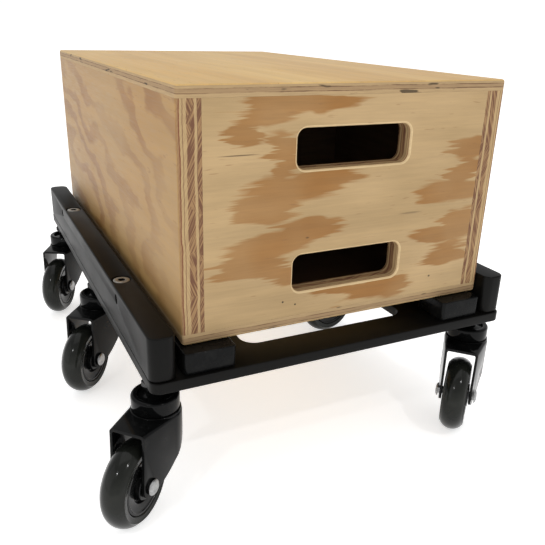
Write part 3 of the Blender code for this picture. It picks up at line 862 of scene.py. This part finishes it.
def tyre_mesh(rubber):
    """Round tread on flat side walls, with a raised ring where they meet."""
    half = in_mm([(25.8, 10.3), (26.4, 10.9), (27.2, 11.2), (30.1, 11.2), (30.5, 11.6), (31.0, 11.6)])
    lower = [(radius, -height) for radius, height in half]
    tread = []
    for angle in range(-66, 67, 6):
        turn = math.radians(angle)
        tread.append((27.5 * MM + 10.0 * MM * math.cos(turn), 11.9 * MM * math.sin(turn)))
    return finish_mesh(turned(lower + tread + half[::-1], 96, closed=True), "tyre", [rubber], 50.0)


def core_mesh(nylon):
    """Moulded core: rim lip, dished web, deep groove and hub boss."""
    upper = in_mm([
        (8.3, 12.7), (11.4, 12.7), (12.0, 12.1), (12.5, 8.0), (13.4, 6.6), (14.6, 6.6), (15.3, 8.0),
        (15.6, 9.3), (16.4, 9.8), (21.5, 9.4), (22.6, 9.8), (23.4, 10.5), (24.9, 10.5), (25.5, 9.9)])
    profile = upper + [(radius, -height) for radius, height in reversed(upper)]
    return finish_mesh(turned(profile, 96, closed=True), "core", [nylon], 38.0)


def dome():
    """Low domed head from its crown to its face."""
    return [(0.0, AXLE_FACE + 2.5 * MM), (3.2 * MM, AXLE_FACE + 2.4 * MM), (5.2 * MM, AXLE_FACE + 1.9 * MM),
            (6.4 * MM, AXLE_FACE + 1.1 * MM), (6.8 * MM, AXLE_FACE + 0.4 * MM), (6.8 * MM, AXLE_FACE)]


def bolt_mesh(steel):
    """Axle bolt with a domed head."""
    profile = dome() + [(4.0 * MM, AXLE_FACE), (4.0 * MM, -AXLE_END), (0.0, -AXLE_END)]
    return finish_mesh(turned(profile, 48), "axle_bolt", [steel])


def nut_mesh(steel):
    """Domed cap nut over the end of the axle."""
    floor = -AXLE_END - 0.3 * MM
    profile = [(radius, -height) for radius, height in dome()]
    profile += [(4.3 * MM, -AXLE_FACE), (4.3 * MM, floor), (0.0, floor)]
    return finish_mesh(turned(profile, 48), "axle_nut", [steel])


def build_casters(finishes):
    """Six casters that share their meshes, each turned to the heading of its joints."""
    enamel = finishes["enamel"]
    steel = finishes["steel"]
    cup = cup_mesh(enamel)
    collar = collar_mesh(enamel)
    fork = fork_mesh(enamel)
    tyre = tyre_mesh(finishes["urethane"])
    core = core_mesh(finishes["nylon"])
    bolt = bolt_mesh(steel)
    nut = nut_mesh(steel)
    for name in CASTERS:
        pivot = Vector(JOINTS[f"swivel_{name}"]["pos_m"])
        hub = Vector(JOINTS[f"wheel_spin_{name}"]["pos_m"])
        heading = math.atan2(hub.y - pivot.y, hub.x - pivot.x)
        swivel = Matrix.Translation((pivot.x, pivot.y, 0.0)) @ Matrix.Rotation(heading, 4, "Z")
        axle = swivel @ Matrix.Translation((TRAIL, 0.0, AXLE_Z))
        axle = axle @ Matrix.Rotation(math.radians(-90.0), 4, "X")
        caster = f"caster_{name}"
        wheel = f"wheel_{name}"
        for piece, mesh, body, slot, node, place in (
                ("swivel_cup", cup, "frame", "caster_black", "swivel_head", swivel),
                ("stem_collar", collar, "frame", "caster_black", "swivel_head", swivel),
                ("fork_yoke", fork, caster, "caster_black", "fork", swivel),
                ("axle_pin", bolt, caster, "plated_steel", "axle_bolt", axle),
                ("lock_nut", nut, caster, "plated_steel", "axle_nut", axle),
                ("wheel_hub", core, wheel, "wheel_nylon", "wheel_core", axle),
                ("tread", tyre, wheel, "tyre_urethane", "tyre", axle)):
            add_piece(f"{piece}_{name}", mesh, body, [f"{node}_{name}"], place)
        recolour(f"wheel_bearing_{name}", steel)


# ---------------------------------------------------------------- plywood box

BOX_W = 12.0 * INCH
BOX_D = 20.0 * INCH
BOX_H = 8.0 * INCH
SKIN = 9.6 * MM
WALL = 19.05 * MM
ROUND = 2.6 * MM
SEAM = 0.06 * MM
HAND_W = 108.0 * MM
HAND_H = 33.0 * MM
HAND_CORNER_R = 8.0 * MM
HAND_HEIGHTS = (47.5 * MM, 152.4 * MM)


def face_or_edge(part, axis, outward, limit):
    """0 for a panel's outer face, 1 for its edge, 2 for its inner face."""
    if abs(part.normal[axis]) < limit:
        return 1
    return 0 if part.normal[axis] * outward > 0.0 else 2


def box_seat():
    low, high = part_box("box_bottom")
    middle = (low + high) / 2.0
    return Matrix.Translation((middle.x, middle.y, low.z))


def build_skins(seat, painted_inner_shade):
    """Top and bottom panels, rounded on their outer rims and upright corners."""
    half_w = BOX_W / 2.0
    half_d = BOX_D / 2.0
    face = top_veneer()
    for name, bottom, top, rim in (("bottom", 0.0, SKIN, 0.0), ("top", BOX_H - SKIN, BOX_H, BOX_H)):
        bm = block((-half_w, -half_d, bottom), (half_w, half_d, top), ROUND,
                   lambda middle: abs(middle.z - rim) < MM or bottom + MM < middle.z < top - MM)
        mesh = finish_mesh(bm, f"ply_{name}", [face, skin_edge(f"{name}_edge", bottom, top), painted_inner_shade],
                           pick=lambda part: face_or_edge(part, 2, rim - BOX_H / 2.0, 0.6))
        add_piece(f"ply_{name}", mesh, "plywood_box", [f"box_{name}"], seat)


def build_sides(seat, painted_inner_shade):
    """Side panels, rounded on their upright outer corners only."""
    half_d = BOX_D / 2.0
    face = side_veneer()
    for side, sign in (("left", -1.0), ("right", 1.0)):
        outer = sign * BOX_W / 2.0
        inner = outer - sign * WALL
        low = (min(outer, inner), -half_d, SKIN + SEAM)
        high = (max(outer, inner), half_d, BOX_H - SKIN - SEAM)
        bm = block(low, high, ROUND,
                   lambda middle: abs(middle.x - outer) < MM and abs(abs(middle.y) - half_d) < MM)
        edge = wall_edge(f"{side}_edge", 0, outer, inner, 2)
        mesh = finish_mesh(bm, f"ply_{side}", [face, edge, painted_inner_shade],
                           pick=lambda part: face_or_edge(part, 0, sign, 0.85))
        add_piece(f"ply_{side}_side", mesh, "plywood_box", [f"box_{side}_side"], seat)


def near_hand_hole(point):
    return abs(point.x) < 60.0 * MM and any(abs(point.z - height) < 22.0 * MM for height in HAND_HEIGHTS)


def end_part(part, way):
    """0 for an end panel's faces, 1 for a hand hole's wall, 2 for its rounded rim, 3 for the inner face."""
    if not near_hand_hole(part.calc_center_median()) or abs(part.normal.y) > 0.97:
        return 0 if part.normal.y * way > -0.5 else 3
    return 1 if abs(part.normal.y) < 0.2 else 2


def build_ends(seat, painted_inner_shade):
    """End panels with two hand holes each, their rims rounded over."""
    face = end_veneer()
    lip = fresh_cut()
    half_w = BOX_W / 2.0 - WALL - SEAM
    for row, way in (("front", -1.0), ("rear", 1.0)):
        outer = way * BOX_D / 2.0
        inner = outer - way * WALL
        low = (-half_w, min(outer, inner), SKIN + SEAM)
        high = (half_w, max(outer, inner), BOX_H - SKIN - SEAM)
        panel = block(low, high, 0.0, lambda middle: False)
        cutters = []
        for height in HAND_HEIGHTS:
            tunnel = prism(rounded_outline(HAND_W, HAND_H, HAND_CORNER_R), -WALL, WALL)
            turn_and_move(tunnel, 90.0, "X", (0.0, (outer + inner) / 2.0, height))
            cutters.append(("DIFFERENCE", tunnel))
        edge = wall_edge(f"{row}_hole_edge", 1, outer, inner, 0)
        mesh = boolean(plain_mesh(panel, f"ply_{row}_end"), cutters)
        mesh = round_rims(mesh, near_hand_hole, ROUND, [face, edge, lip, painted_inner_shade],
                          lambda part: end_part(part, way))
        add_piece(f"ply_{row}_end", mesh, "plywood_box", [f"box_{row}_end"], seat)


def build_box():
    seat = box_seat()
    # The inner faces take painted shade: dark wood for the dim inside of the box.
    painted_inner_shade = inner_painted_shade()
    build_skins(seat, painted_inner_shade)
    build_sides(seat, painted_inner_shade)
    build_ends(seat, painted_inner_shade)
    # The divider inside the box takes the same painted shade.
    recolour("box_divider", painted_inner_shade)


# ---------------------------------------------------------------- assembly

FINISHES = {
    "coat": powder_coat(),
    "pad": gloss_black("pad_plastic", 0.26, 0.03, 0.10),
    "enamel": gloss_black("black_enamel", 0.12, 0.04, 0.15),
    "nylon": gloss_black("black_nylon", 0.18, 0.03, 0.28),
    "urethane": urethane(),
    "steel": zinc("zinc_plate", (0.42, 0.42, 0.42), 0.34),
    "screw": zinc("screw_plate", (0.40, 0.39, 0.36), 0.3),
}
add_camera()
add_studio()
build_frame(FINISHES)
build_casters(FINISHES)
build_box()
